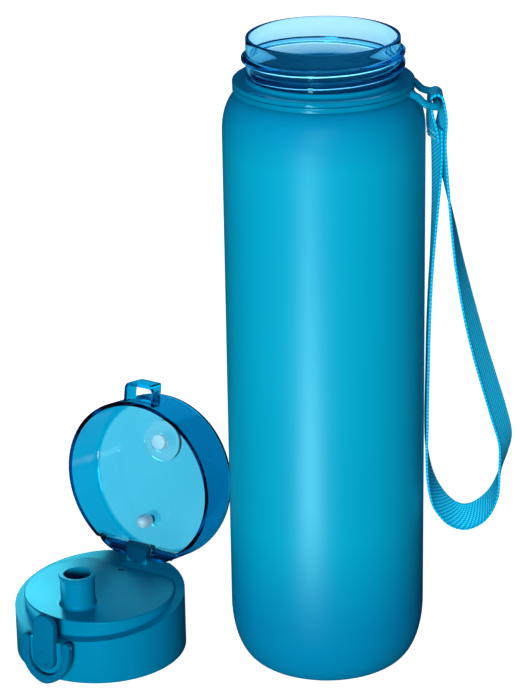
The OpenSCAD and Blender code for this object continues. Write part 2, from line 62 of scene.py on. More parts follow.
# %% Camera
CAMERA_AT = (-0.026445, -1.041494, 0.539243)
LENS = 142.09
PITCH_DOWN = math.radians(21.241)
ROLL = math.radians(-0.97)

bpy.ops.object.camera_add(location=CAMERA_AT)
camera = bpy.context.object
camera.rotation_euler = (math.pi / 2 - PITCH_DOWN, 0, 0)
bpy.context.view_layer.update()
camera.matrix_world = camera.matrix_world @ Matrix.Rotation(ROLL, 4, "Z")
camera.data.sensor_width = 36
camera.data.lens = LENS
camera.data.clip_start = 0.01
bpy.context.scene.camera = camera
print("camera at", [round(c, 4) for c in camera.location], "lens", LENS)

# %% [markdown]
# ## Small tools
#
# An operator works on everything that is selected, so each step first chooses one
# object. Sizes on the real bottle are in millimetres and Blender's unit is a metre,
# so lists of sizes are written in millimetres and turned into metres in one place.

# %% Helpers for choosing and placing
MM = 0.001


def only(obj):
    """Makes obj the one selected and active object."""
    if bpy.context.object and bpy.context.object.mode != "OBJECT":
        bpy.ops.object.mode_set(mode="OBJECT")
    bpy.ops.object.select_all(action="DESELECT")
    obj.select_set(True)
    bpy.context.view_layer.objects.active = obj
    return obj


def edit(obj, kind="VERT"):
    """Opens obj in edit mode with nothing selected."""
    only(obj)
    bpy.ops.object.mode_set(mode="EDIT")
    bpy.ops.mesh.select_mode(type=kind)
    bpy.ops.mesh.select_all(action="DESELECT")


def done(obj):
    """Leaves edit mode."""
    bpy.ops.object.mode_set(mode="OBJECT")
    return obj


def place(obj, matrix):
    """Puts obj's mesh where matrix says, and leaves the object at the origin."""
    only(obj)
    obj.matrix_world = matrix
    bpy.ops.object.transform_apply(location=True, rotation=True, scale=True)
    return obj


def smooth(obj, angle=30):
    """Shades rounded faces smooth and keeps edges sharper than angle."""
    only(obj)
    bpy.ops.object.shade_smooth_by_angle(angle=math.radians(angle))
    return obj


def arc(cx, cy, a, b, start, end, n=12):
    """Points on an arc of an ellipse, from one angle to another."""
    turns = [math.radians(start + (end - start) * i / n) for i in range(n + 1)]
    return [(cx + a * math.cos(t), cy + b * math.sin(t)) for t in turns]


# %% [markdown]
# ## Turned pieces
#
# The bottle, the lid's skirt, the spout and the seals are all round, so one helper
# makes them the way a lathe does. A plane is merged to a single vertex, the vertex
# is extruded along the half section, and Spin carries that outline once round the
# axis. The doubled seam is then merged and the normals are recalculated, because
# Spin can leave a shape inside out.


# %% A lathe
def outline(name, points):
    """A chain of vertices through points, in metres, left open in edit mode."""
    bpy.ops.object.select_all(action="DESELECT")
    bpy.ops.mesh.primitive_plane_add(size=MM)
    obj = bpy.context.object
    obj.name = name
    bpy.ops.object.mode_set(mode="EDIT")
    bpy.ops.mesh.select_all(action="SELECT")
    bpy.ops.mesh.merge(type="CENTER")
    bpy.ops.transform.translate(value=points[0])
    for a, b in zip(points, points[1:]):
        bpy.ops.mesh.extrude_region_move(
            TRANSFORM_OT_translate={"value": Vector(b) - Vector(a)})
    return obj


def turned(name, section, steps=128, angle=30, ring=False):
    """A round piece from its half section, a list of (radius, height) in mm."""
    points = [(r * MM, 0, z * MM) for r, z in section]
    if ring:
        points.append(points[0])
    obj = outline(name, points)
    bpy.ops.mesh.select_all(action="SELECT")
    bpy.ops.mesh.remove_doubles(threshold=1e-7)
    bpy.ops.mesh.spin(steps=steps, angle=2 * math.pi, center=(0, 0, 0), axis=(0, 0, 1))
    bpy.ops.mesh.select_all(action="SELECT")
    bpy.ops.mesh.remove_doubles(threshold=1e-6)
    bpy.ops.mesh.normals_make_consistent(inside=False)
    done(obj)
    smooth(obj, angle)
    print(name, len(obj.data.polygons), "faces")
    return obj


# %% [markdown]
# ## The webbing's route
#
# The wrist strap is one length of flat polyester webbing, 12 mm wide. It passes
# over the loop's outer bar, hangs down, turns in an open hand loop and comes back up
# to be sewn to itself just below the bar. Its path is a smooth curve through
# listed points, each with the twist that the webbing has there. The points are
# measured from the bar, in millimetres, and turned into metres here.

# %% Route of the wrist strap
BAR = Vector((0.044, 0, 0.2384))
STRAP_WIDTH = 0.012
STRAP_THICKNESS = 0.0011
SAMPLE_STEP = 0.0011
STRAP_ROUTE = [
    (-0.8, 0, -16, 16), (-1.5, 0, -11, 15), (-2.2, 0, -6, 8), (-2.5, 0, -1, 2),
    (-2.45, 0, 1, 0), (-1.7, 0, 2.5, 0), (0, 0, 3.2, 0), (1.7, 0, 2.5, 0),
    (2.45, 0, 1, 0), (2.6, 0, -1.5, -4), (2.6, 0, -7, -12), (2.1, 0, -12, -16),
    (1.9, 0, -17, -16), (2.5, 0, -23, -13), (3.7, 0, -31, -7), (5.4, 0, -42, 1),
    (7.5, 0, -55, 10), (9.7, -1, -68, 17), (12.2, -1, -80, 23), (15.2, -2, -93, 28),
    (18.6, -2, -106, 31), (22.4, -2, -119, 33), (26.2, -1.5, -132, 34),
    (29.2, -1, -143.5, 30), (28.9, -0.5, -151, 21), (27.8, 0, -158, 11),
    (26.9, 0, -163.2, 3), (25.8, 0, -167.6, -5), (23.9, 0, -171.7, -12),
    (21.1, 0, -175.5, -22), (17.4, 0, -178.4, -31), (12.9, 0, -179.6, -40),
    (8.7, 0, -178.3, -38), (5.3, 0, -175.4, -32), (2.2, 0, -171.2, -27),
    (-0.3, 0, -165, -17), (-1.9, 0, -158, -9), (-2.8, 0, -149, -3), (-2.9, 0, -138, 0),
    (-2.8, 0, -125, 0), (-2.6, 0, -111, 0), (-2.4, 0, -97, 0), (-1.9, 0, -81, 0),
    (-1.2, 0, -67, 0), (-0.5, 0, -54, 3), (0.1, 0, -42, 7), (0.5, 0, -31, 12),
    (0.6, 0, -23, 15), (0.5, 0, -16, 16), (0.4, 0, -11, 16),
]


def through(points, step):
    """A smooth curve through points, with samples about step apart."""
    found = []
    last = len(points) - 1
    for i in range(last):
        p = [points[max(0, min(last, i + k))] for k in (-1, 0, 1, 2)]
        n = max(2, round((p[2].xyz - p[1].xyz).length / step))
        for j in range(n):
            t = j / n
            found.append(0.5 * (2 * p[1] + (p[2] - p[0]) * t
                                + (2 * p[0] - 5 * p[1] + 4 * p[2] - p[3]) * t ** 2
                                + (3 * p[1] - p[0] - 3 * p[2] + p[3]) * t ** 3))
    return found + [points[last]]


route = [Vector((BAR.x + x * MM, y * MM, BAR.z + z * MM, math.radians(a)))
         for x, y, z, a in STRAP_ROUTE]
strap_line = through(route, SAMPLE_STEP)

# %% [markdown]
# ## The webbing
#
# Flat webbing is a thin strip with thicker woven edges. A cloth simulation would lose
# its crisp folds, so the strip is built ring by ring: at each point of the route a
# small cross-section is turned to the webbing's twist, and neighbouring sections are
# joined. Its UV map runs in metres across and along the strip, so that the weave
# follows every fold and twist.

# %% Wrist strap
# Across the webbing: place from the middle (1 is the edge) and half thickness
EDGE = [(-1, 0.25), (-0.985, 0.42), (-0.95, 0.5), (-0.9, 0.5), (-0.86, 0.4)]
ACROSS = EDGE + [(k / 5, 0.4) for k in range(-4, 5)] + [(-x, t) for x, t in EDGE[::-1]]


def strip(name, line, width, thickness, sections=ACROSS):
    """A flat band that follows line, whose fourth number is its twist."""
    side_up = [(x, t) for x, t in sections]
    side_down = [(x, -t) for x, t in sections[::-1]]
    section = side_up + side_down
    count = len(section)
    vertices, faces, marks = [], [], []
    along = 0
    for i, p in enumerate(line):
        before, after = line[max(0, i - 1)].xyz, line[min(len(line) - 1, i + 1)].xyz
        tangent = (after - before).normalized()
        side = (Vector((0, 1, 0)) - tangent.y * tangent).normalized()
        across = math.cos(p.w) * side + math.sin(p.w) * tangent.cross(side)
        normal = across.cross(tangent)
        along += (p.xyz - line[max(0, i - 1)].xyz).length
        for x, t in section:
            vertices.append(p.xyz + across * x * width / 2 + normal * t * thickness)
            marks.append((x * width / 2, along))
    for i in range(len(line) - 1):
        for k in range(count):
            a, b = i * count + k, i * count + (k + 1) % count
            faces.append((a, b, b + count, a + count))
    faces.append(tuple(range(count))[::-1])
    faces.append(tuple((len(line) - 1) * count + k for k in range(count)))
    mesh = bpy.data.meshes.new(name)
    mesh.from_pydata(vertices, [], faces)
    uv = mesh.uv_layers.new(name="weave")
    for loop in mesh.loops:
        uv.data[loop.index].uv = marks[loop.vertex_index]
    obj = bpy.data.objects.new(name, mesh)
    bpy.context.collection.objects.link(obj)
    edit(obj)
    bpy.ops.mesh.select_all(action="SELECT")
    bpy.ops.mesh.normals_make_consistent(inside=False)
    done(obj)
    return smooth(obj, 50)


strap = strip("webbing_strap", strap_line, STRAP_WIDTH, STRAP_THICKNESS)
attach(strap, "collar")
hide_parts("wrist_strap")
print("webbing", len(strap.data.polygons), "faces")

# %% [markdown]
# ## The stitching
#
# The strap's layers are closed by two short rows of stitches across the webbing. A
# stitch is a thread that dives in at both ends, so each is a little bent tube. One
# is shaped from a bezier curve with a round bevel and turned into a mesh, and the
# others are copies with their own meshes, on the outer face and on the inner one.


# %% Tube along points
def tube(name, points, radius, sides=4, closed=False, steps=6):
    """A round rod through points, in metres, made a mesh."""
    bpy.ops.object.select_all(action="DESELECT")
    bpy.ops.curve.primitive_bezier_curve_add()
    obj = bpy.context.object
    obj.name = name
    curve = obj.data
    spline = curve.splines[0]
    spline.bezier_points.add(len(points) - len(spline.bezier_points))
    for knot, p in zip(spline.bezier_points, points):
        knot.co = p
        knot.handle_left_type = knot.handle_right_type = "AUTO"
    spline.use_cyclic_u = closed
    curve.resolution_u = steps
    curve.bevel_depth = radius
    curve.bevel_resolution = sides
    curve.use_fill_caps = not closed
    only(obj)
    bpy.ops.object.convert(target="MESH")
    obj = bpy.context.object
    edit(obj)
    bpy.ops.mesh.select_all(action="SELECT")
    bpy.ops.mesh.remove_doubles(threshold=1e-6)
    bpy.ops.mesh.normals_make_consistent(inside=False)
    done(obj)
    return smooth(obj, 50)


def copied(obj, name, matrix):
    """A copy of obj with its own mesh, moved by matrix."""
    other = obj.copy()
    other.data = obj.data.copy()
    other.name = name
    bpy.context.collection.objects.link(other)
    return place(other, matrix)


def joined(objs, name):
    """Several pieces made one."""
    only(objs[0])
    for o in objs:
        o.select_set(True)
    bpy.ops.object.join()
    objs[0].name = name
    return objs[0]


# %% Strap stitching
STITCH = 0.0017
THREAD = 0.00022
SEAM_TWIST = math.radians(16)
SEAM_ROWS = (0.0125, 0.0145)
STITCHES_A_ROW = 6
OUTER_LAYER, INNER_LAYER = 0.0020, -0.0013
SUNK = 0.00005
outer_face = OUTER_LAYER + STRAP_THICKNESS / 2
inner_face = INNER_LAYER - STRAP_THICKNESS / 2
stitches = []
for face, out in ((outer_face, 1), (inner_face, -1)):
    arch = [(0, -STITCH / 2, 0), (out * 0.0002, -STITCH / 3, 0),
            (out * 0.00028, 0, 0), (out * 0.0002, STITCH / 3, 0), (0, STITCH / 2, 0)]
    stitch = tube("stitch", [Vector(p) for p in arch], THREAD, 2, steps=3)
    for drop in SEAM_ROWS:
        for k in range(STITCHES_A_ROW):
            y = (k - (STITCHES_A_ROW - 1) / 2) * STRAP_WIDTH / (STITCHES_A_ROW + 1)
            spot = (Matrix.Translation((BAR.x, 0, BAR.z - drop)) @ Matrix.Rotation(SEAM_TWIST, 4, "Z")
                    @ Matrix.Translation((face - SUNK * out, y, 0)))
            stitches.append(copied(stitch, "stitch", spot))
    bpy.data.objects.remove(stitch)
stitching = joined(stitches, "strap_threads")
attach(stitching, "collar")
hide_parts("strap_stitching")

# %% [markdown]
# ## The bottle
#
# The body is blown or moulded in one tough, clear plastic: a straight wall between a
# drawn-in foot and a rounded shoulder, then a groove for the collar, a flange, and the
# neck with its screw thread. It is turned as one closed shell with a real wall
# thickness, because light has to pass through two surfaces on each side.

# %% Bottle sizes, in millimetres
BODY_R, SHOULDER_R, FOOT_R = 40, 32, 30
FOOT_H, WALL, FLOOR_T = 24, 2, 3.5
SHOULDER_Z, SHOULDER_TOP = 227.2, 243.2
GROOVE_R, FLANGE_R = 31.2, 35.7
FLANGE_LOW, FLANGE_TOP, RIM = 245.8, 247.8, 265
MOUTH_R, NECK_R = 28.7, 30.2
INNER_SHOULDER_H = 13.5
FLANGE_EDGE, NECK_FILLET = 0.5, 1
THREAD_DEPTH, PITCH, TURNS = 1.8, 4.8, 1.5
THREAD_LOW = FLANGE_TOP + 4.0
THREAD_START = 200

inner_r = BODY_R - WALL
lip = (NECK_R - MOUTH_R) / 2
wall_step = (SHOULDER_Z - FOOT_H) / 9
thread_rings = [(NECK_R, FLANGE_TOP + 2.2 + 0.3 * i) for i in range(44)]
bottle_section = (
    [(0, 0)]
    + arc(FOOT_R, FOOT_H, BODY_R - FOOT_R, FOOT_H, -90, 0, 20)
    + [(BODY_R, FOOT_H + k * wall_step) for k in range(1, 9)]
    + arc(SHOULDER_R, SHOULDER_Z, BODY_R - SHOULDER_R, SHOULDER_TOP - SHOULDER_Z, 0, 90, 20)
    + [(GROOVE_R, SHOULDER_TOP), (GROOVE_R, FLANGE_LOW)]
    + arc(FLANGE_R - FLANGE_EDGE, FLANGE_LOW + FLANGE_EDGE, FLANGE_EDGE, FLANGE_EDGE, -90, 0, 5)
    + arc(FLANGE_R - FLANGE_EDGE, FLANGE_TOP - FLANGE_EDGE, FLANGE_EDGE, FLANGE_EDGE, 0, 90, 5)
    + arc(NECK_R + NECK_FILLET, FLANGE_TOP + NECK_FILLET, NECK_FILLET, NECK_FILLET, 270, 180, 5)
    + thread_rings
    + arc(NECK_R - lip, RIM - lip, lip, lip, 0, 180, 10)
    + [(MOUTH_R, RIM - 3 * k) for k in range(1, 8)]
    + arc(MOUTH_R, SHOULDER_Z, inner_r - MOUTH_R, INNER_SHOULDER_H, 90, 0, 16)
    + [(inner_r, SHOULDER_Z - k * wall_step) for k in range(1, 9)]
    + arc(FOOT_R, FOOT_H, inner_r - FOOT_R, FOOT_H - FLOOR_T, 0, -90, 16)
    + [(0, FLOOR_T)]
)
bottle = turned("bottle_shell", bottle_section, steps=160, angle=40)

# %% [markdown]
# ## The screw thread
#
# A thread is a low ridge wound round the neck. It could be swept by the Screw
# modifier as a part of its own, but two overlapping clear parts show a false seam
# inside the plastic. So the neck's own fine rings are pushed outwards where the helix
# passes: each vertex knows its height and its turn, and that gives its distance from
# the ridge. The ridge fades out at both ends, as a moulded one does.


# %% Raise the thread on the neck
CREST_HALF, FLANK = 0.55, 0.85
FADE = 16


def ease(t):
    """A soft step from 0 to 1."""
    t = max(0, min(1, t))
    return t * t * (3 - 2 * t)


def ridge(offset):
    """Height of the ridge, from 0 to 1, at a distance in mm above its middle."""
    return 1 - ease((abs(offset) - CREST_HALF) / FLANK)


raised = 0
for v in bottle.data.vertices:
    r = math.hypot(v.co.x, v.co.y) / MM
    z = v.co.z / MM
    if abs(r - NECK_R) > 0.01 or not FLANGE_TOP + 1.5 < z < RIM - 1:
        continue
    turn = (math.degrees(math.atan2(v.co.y, v.co.x)) - THREAD_START) % 360
    height = 0
    while turn <= 360 * TURNS:
        taper = ease(min(turn, 360 * TURNS - turn) / FADE)
        height = max(height, taper * ridge(z - THREAD_LOW - PITCH * turn / 360))
        turn += 360
    if height > 0:
        scale = 1 + THREAD_DEPTH * height / r
        v.co.x *= scale
        v.co.y *= scale
        raised += 1
print("thread vertices", raised)
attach(bottle, "bottle")
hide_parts("bottle_body")

# %% [markdown]
# ## The carry collar
#
# The collar is a ring that snaps into the groove under the flange and turns there. A
# loop of round bar stands out from it for the strap. The ring is turned on the lathe;
# the loop is one bent rod, so it is a tube through a few points with soft corners.

# %% Collar ring and strap loop
COLLAR_LOW, COLLAR_T = 243.4, 2.2
RING_IN, RING_OUT = 31.5, 35.6
SOFT = 0.45
LOOP_ROD = 1.5
inner, outer = RING_IN + SOFT, RING_OUT - SOFT
low, high = COLLAR_LOW + SOFT, COLLAR_LOW + COLLAR_T - SOFT
ring = turned(
    "collar_ring",
    arc(inner, low, SOFT, SOFT, 180, 270, 4)
    + arc(outer, low, SOFT, SOFT, 270, 360, 4)
    + arc(outer, high, SOFT, SOFT, 0, 90, 4)
    + arc(inner, high, SOFT, SOFT, 90, 180, 4),
    steps=128, angle=40, ring=True)
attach(ring, "collar")
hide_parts("carry_collar")

LOOP_HALF = 11.2
half_loop = [(32.3, LOOP_HALF, 244.4), (34.2, LOOP_HALF, 243.5), (36.1, LOOP_HALF, 242.5),
             (37.7, LOOP_HALF, 240.9), (39.3, LOOP_HALF, 239.5), (41.6, LOOP_HALF, 238.75),
             (43.2, LOOP_HALF - 0.3, 238.45), (44, LOOP_HALF - 1.4, 238.4),
             (44, LOOP_HALF - 4, 238.4)]
loop_line = half_loop + [(x, -y, z) for x, y, z in half_loop[::-1]]
loop = tube("strap_loop", [Vector(p) * MM for p in loop_line], LOOP_ROD * MM, 6, steps=6)
print("strap loop", len(loop.data.polygons), "faces")
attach(loop, "collar")

# %% [markdown]
# ## The lid's own frame
#
# The lid stands beside the bottle, turned 32 degrees, and its cap hangs open by 100
# degrees about the hinge. Its small parts are easiest to shape as if the lid were
# shut and facing straight ahead. Each is then put in place by one matrix.

# %% Frames of the lid and of the open cap
LID_AT, LID_TURN, CAP_OPEN = (-0.0955, 0.005, 0), -32, 100
HINGE = Vector((0, 31.7, 30.392)) * MM


def turn_x(degrees):
    """A turn about the X axis."""
    return Matrix.Rotation(math.radians(degrees), 4, "X")


LID = Matrix.Translation(LID_AT) @ Matrix.Rotation(math.radians(LID_TURN), 4, "Z")
CAP = LID @ Matrix.Translation(HINGE) @ turn_x(-CAP_OPEN) @ Matrix.Translation(-HINGE)
print("hinge of the cap at", [round(c, 4) for c in LID @ HINGE])


def put(obj, matrix, body, replaces=None):
    """Places a piece and says which body carries it."""
    place(obj, matrix)
    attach(obj, body)
    if replaces:
        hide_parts(replaces)
    return obj


def at(x, y, z):
    """A move by a distance in mm."""
    return Matrix.Translation(Vector((x, y, z)) * MM)


# %% [markdown]
# ## Seals in the cap
#
# A round pad of clear silicone sits against the cap's ceiling and closes the spout. It
# has a low ring and a small white plug at its middle. A second, long plug with a
# rounded tip closes the vent. All of them are turned.

# %% Spout seal and vent plug
SPOUT_Y = -15.5
pad = turned("seal_pad", [(0, 39.95), (8.7, 39.95), (9.0, 40.25), (9.0, 42.15), (0, 42.15)], 96)
put(pad, CAP @ at(0, SPOUT_Y, 0), "cap", "spout_seal")
seal_ring = turned("seal_ring", arc(4.2, 39.1, 0.6, 0.9, 0, 360, 16)[:-1], 96, ring=True)
put(seal_ring, CAP @ at(0, SPOUT_Y, 0), "cap")
plug = turned("seal_plug", [(0, 37.1)] + arc(2.7, 37.7, 0.6, 0.6, -90, 0, 5) + [(3.3, 39.9), (0, 39.9)], 64)
put(plug, CAP @ at(0, SPOUT_Y, 0), "cap")

VENT_R, VENT_ROUND_Z = 2.9, 34.1
VENT_X, VENT_Y = -2.5, 19.8
vent = turned("vent_tip", [(0, VENT_ROUND_Z - VENT_R)] + arc(0, VENT_ROUND_Z, VENT_R, VENT_R, -80, 0, 10)
              + [(VENT_R, 37.2), (2.6, 37.5), (2.05, 37.5), (2.05, 34.2), (0, 34.2)], 64)
put(vent, CAP @ at(VENT_X, VENT_Y, 0), "cap", "vent_plug")

# %% [markdown]
# ## Springs
#
# The hinge's spring is one wire: a coil on each side of the hinge post, joined by a
# bridge over its top. The latch's spring is a short coil with a flat half turn at each
# end. Both are tubes that follow a helix. The latch's spring shortens as the button is
# pressed; here the coil keeps one length.


# %% A helix
def helix(radius, start, end, turns, phase, per_turn=10):
    """Points of a helix along X, from start to end in mm."""
    n = round(turns * per_turn)
    return [Vector((start + (end - start) * i / n,
                    radius * math.cos(phase + 2 * math.pi * turns * i / n),
                    radius * math.sin(phase + 2 * math.pi * turns * i / n))) for i in range(n + 1)]


# %% Hinge spring
COIL_R, WIRE, COIL_AT, COIL_W, BRIDGE = 1.5, 0.3, 5.5, 1.25, 4.9
BRIDGE_TURN = 118
right_coil = helix(COIL_R, COIL_AT, COIL_AT + COIL_W, 2.25, math.pi / 2)
right = [Vector((COIL_AT - 0.6, 0, BRIDGE)), Vector((COIL_AT - 0.05, 0, BRIDGE - 0.5)),
         Vector((COIL_AT, 0, 3.0))] + right_coil
left = [Vector((-p.x, p.y, p.z)) for p in right[::-1]]
wire = tube("hinge_wire", [p * MM for p in left + right], WIRE * MM, 3, steps=3)
put(wire, CAP @ Matrix.Translation(HINGE) @ turn_x(BRIDGE_TURN), "cap", "hinge_spring")
print("hinge spring", len(wire.data.polygons), "faces")

# %% Latch spring
LATCH_COIL_R, LATCH_WIRE, LATCH_COIL_Z = 1.7, 0.25, 11
COIL_BACK, COIL_FRONT = -34.8, -37.35
back_turn = helix(LATCH_COIL_R, COIL_BACK, COIL_BACK, 0.5, 0)
middle = helix(LATCH_COIL_R, COIL_BACK, COIL_FRONT, 2.5, math.pi)
front_turn = helix(LATCH_COIL_R, COIL_FRONT, COIL_FRONT, 0.5, 0)
latch_wire = [p * MM for p in back_turn[:-1] + middle + front_turn[1:]]
coil = tube("latch_coil", latch_wire, LATCH_WIRE * MM, 3, steps=3)
put(coil, LID @ at(0, 0, LATCH_COIL_Z) @ Matrix.Rotation(math.radians(90), 4, "Z"),
    "lid", "latch_spring")
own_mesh(coil)
print("latch spring", len(coil.data.polygons), "faces")

# %% [markdown]
# ## The latch
#
# The button and the ring that locks it are flat mouldings with soft edges. Each one
# is a chain of vertices round its outline, filled, pulled out to its thickness and
# then given a small bevel. The button leans back above its pin, and a Boolean cuts a
# shallow finger dimple with a step into its face.


# %% Flat moulding
def slab(name, points, back, front, bevel):
    """A plate whose outline is (x, z) points, between two depths along Y, all in mm."""
    obj = outline(name, [Vector((x, back, z)) * MM for x, z in points + points[:1]])
    bpy.ops.mesh.select_all(action="SELECT")
    bpy.ops.mesh.remove_doubles(threshold=1e-6)
    bpy.ops.mesh.select_all(action="SELECT")
    bpy.ops.mesh.edge_face_add()
    bpy.ops.mesh.extrude_region_move(TRANSFORM_OT_translate={"value": (0, (front - back) * MM, 0)})
    bpy.ops.mesh.select_all(action="SELECT")
    bpy.ops.mesh.normals_make_consistent(inside=False)
    done(obj)
    only(obj)
    soft = obj.modifiers.new("soft_edge", "BEVEL")
    soft.width = bevel * MM
    soft.segments = 3
    soft.limit_method = "ANGLE"
    soft.angle_limit = math.radians(50)
    bpy.ops.object.modifier_apply(modifier=soft.name)
    return smooth(obj, 40)


# %% Button
BUTTON_W, BUTTON_LOW, BUTTON_TOP = 10.4, 7, 31
BUTTON_BACK, BUTTON_FRONT = -37.7, -42
LEAN, LEAN_FROM, LEAN_OVER = 1.2, 16, 15
half = BUTTON_W / 2
button = slab("button_press_pad",
              arc(0, BUTTON_LOW + half, half, half, 180, 360, 28)
              + arc(0, BUTTON_TOP - half, half, half, 0, 180, 28), BUTTON_BACK, BUTTON_FRONT, 0.55)
for v in button.data.vertices:
    if v.co.y < (BUTTON_BACK - 2) * MM:
        v.co.y += LEAN * MM * max(0, (v.co.z / MM - LEAN_FROM) / LEAN_OVER)
DIMPLE_Z = BUTTON_LOW + half
bowl = turned("dimple_cutter", [(0, 0.9), (2.7, 0.9), (3.05, 0.5), (3.6, 0.45), (4.0, -0.5), (0, -0.5)], 64)
place(bowl, at(0, BUTTON_FRONT, DIMPLE_Z) @ turn_x(-90))
only(button)
cut = button.modifiers.new("dimple", "BOOLEAN")
cut.operation, cut.object = "DIFFERENCE", bowl
bpy.ops.object.modifier_apply(modifier=cut.name)
bpy.data.objects.remove(bowl)
smooth(button, 40)
put(button, LID, "button", "latch_button")
print("button", len(button.data.polygons), "faces")

# %% Lock ring
RING_IN_R, RING_OUT_R, REACH, RING_T = 8, 11.9, 13.9, 3
ARCH, POINT, TIP_HALF = -4, 1.94, 1
LATCH_AXIS, RING_LEAN = (0, -38.4, 18), 8
arm = (RING_OUT_R - RING_IN_R) / 2
arch_r = RING_OUT_R + POINT
tip = math.degrees(math.acos((POINT + TIP_HALF) / arch_r))
right_arch = arc(-POINT, ARCH, arch_r, arch_r, 0, -tip, 14)
left_arch = [(-x, z) for x, z in right_arch[::-1]]
ring_points = (arc(-RING_IN_R - arm, 0, arm, arm, 0, 180, 10)
               + left_arch[::-1] + right_arch[::-1]
               + arc(RING_IN_R + arm, 0, arm, arm, 0, 180, 10)
               + arc(0, RING_IN_R - REACH, RING_IN_R, RING_IN_R, 0, -180, 24))
lock = slab("swing_ring", ring_points, RING_T / 2, -RING_T / 2, 0.45)
put(lock, LID @ at(*LATCH_AXIS) @ turn_x(-RING_LEAN), "lock", "lock_ring")
print("lock ring", len(lock.data.polygons), "faces")

# %% [markdown]
# ## Finishes: helpers
#
# Every finish is a Principled shader with its own small network. Patterns read Object
# coordinates, which stay fixed to the piece as it moves, and constant values are
# typed straight into the shader's sockets.


# %% Node helpers
def finish(name, **values):
    """A new material and its shader, with constant socket values."""
    material = bpy.data.materials.new(name)
    material.use_nodes = True
    shader = material.node_tree.nodes["Principled BSDF"]
    for key, value in values.items():
        socket = shader.inputs[key.replace("_", " ")]
        socket.default_value = (*value, 1) if isinstance(value, tuple) and len(value) == 3 else value
    return material, shader


def node(material, kind, **settings):
    """A new node of one kind, with its settings."""
    made = material.node_tree.nodes.new("ShaderNode" + kind)
    for key, value in settings.items():
        if hasattr(made, key):
            setattr(made, key, value)
        else:
            made.inputs[key.replace("_", " ")].default_value = value
    return made


def link(material, output, socket):
    material.node_tree.links.new(output, socket)


def noise(material, scale, detail=2.0, stretch=(1, 1, 1)):
    """Noise in Object coordinates; returns its factor."""
    place_node = node(material, "TexCoord")
    mapping = node(material, "Mapping")
    mapping.inputs["Scale"].default_value = stretch
    grain = node(material, "TexNoise", Scale=scale, Detail=detail)
    link(material, place_node.outputs["Object"], mapping.inputs["Vector"])
    link(material, mapping.outputs["Vector"], grain.inputs["Vector"])
    return grain.outputs["Fac"]


def ramp(material, factor, stops):
    """A colour ramp over factor: stops are (place, colour or grey)."""
    made = node(material, "ValToRGB")
    link(material, factor, made.inputs["Fac"])
    line = made.color_ramp
    while len(line.elements) < len(stops):
        line.elements.new(0.5)
    for element, (at, colour) in zip(line.elements, stops):
        element.position = at
        element.color = (*colour, 1) if isinstance(colour, tuple) else (colour,) * 3 + (1,)
    return made.outputs["Color"]


def blend(material, factor, first, second):
    """Mixes two colours, each an output or a constant, by factor."""
    made = node(material, "Mix", data_type="RGBA")
    link(material, factor, made.inputs[0])
    for socket, value in ((made.inputs[6], first), (made.inputs[7], second)):
        if isinstance(value, tuple):
            socket.default_value = (*value, 1)
        else:
            link(material, value, socket)
    return made.outputs[2]


def bump(material, shader, height, strength, distance):
    made = node(material, "Bump", Strength=strength, Distance=distance)
    link(material, height, made.inputs["Height"])
    link(material, made.outputs["Normal"], shader.inputs["Normal"])


def by_height(material, low, high):
    """0 below low, 1 above high, in metres of Object Z."""
    place_node = node(material, "TexCoord")
    split = node(material, "SeparateXYZ")
    link(material, place_node.outputs["Object"], split.inputs["Vector"])
    span = node(material, "MapRange")
    span.inputs["From Min"].default_value = low
    span.inputs["From Max"].default_value = high
    link(material, split.outputs["Z"], span.inputs["Value"])
    return span.outputs["Result"]


def maths(material, operation, a, b=None):
    made = node(material, "Math", operation=operation)
    for i, value in enumerate((a, b)):
        if value is None:
            continue
        if isinstance(value, (int, float)):
            made.inputs[i].default_value = value
        else:
            link(material, value, made.inputs[i])
    return made.outputs["Value"]


def from_line(material, point, direction):
    """Distance from a line in Object coordinates, in hundreds of millimetres."""
    place_node = node(material, "TexCoord")
    offset = node(material, "VectorMath", operation="SUBTRACT")
    link(material, place_node.outputs["Object"], offset.inputs[0])
    offset.inputs[1].default_value = point
    cross = node(material, "VectorMath", operation="CROSS_PRODUCT")
    link(material, offset.outputs["Vector"], cross.inputs[0])
    cross.inputs[1].default_value = direction
    size = node(material, "VectorMath", operation="LENGTH")
    link(material, cross.outputs["Vector"], size.inputs[0])
    return maths(material, "MULTIPLY", size.outputs["Value"], 10)


def absorb(material, colour, density):
    """Tint that deepens with the thickness of plastic that light passes."""
    volume = node(material, "VolumeAbsorption", Density=density)
    volume.inputs["Color"].default_value = (*colour, 1)
    out = material.node_tree.nodes["Material Output"]
    link(material, volume.outputs["Volume"], out.inputs["Volume"])


def paint(obj, material):
    """Gives every slot of obj this material."""
    if not obj.data.materials:
        obj.data.materials.append(material)
    for i in range(len(obj.data.materials)):
        obj.data.materials[i] = material
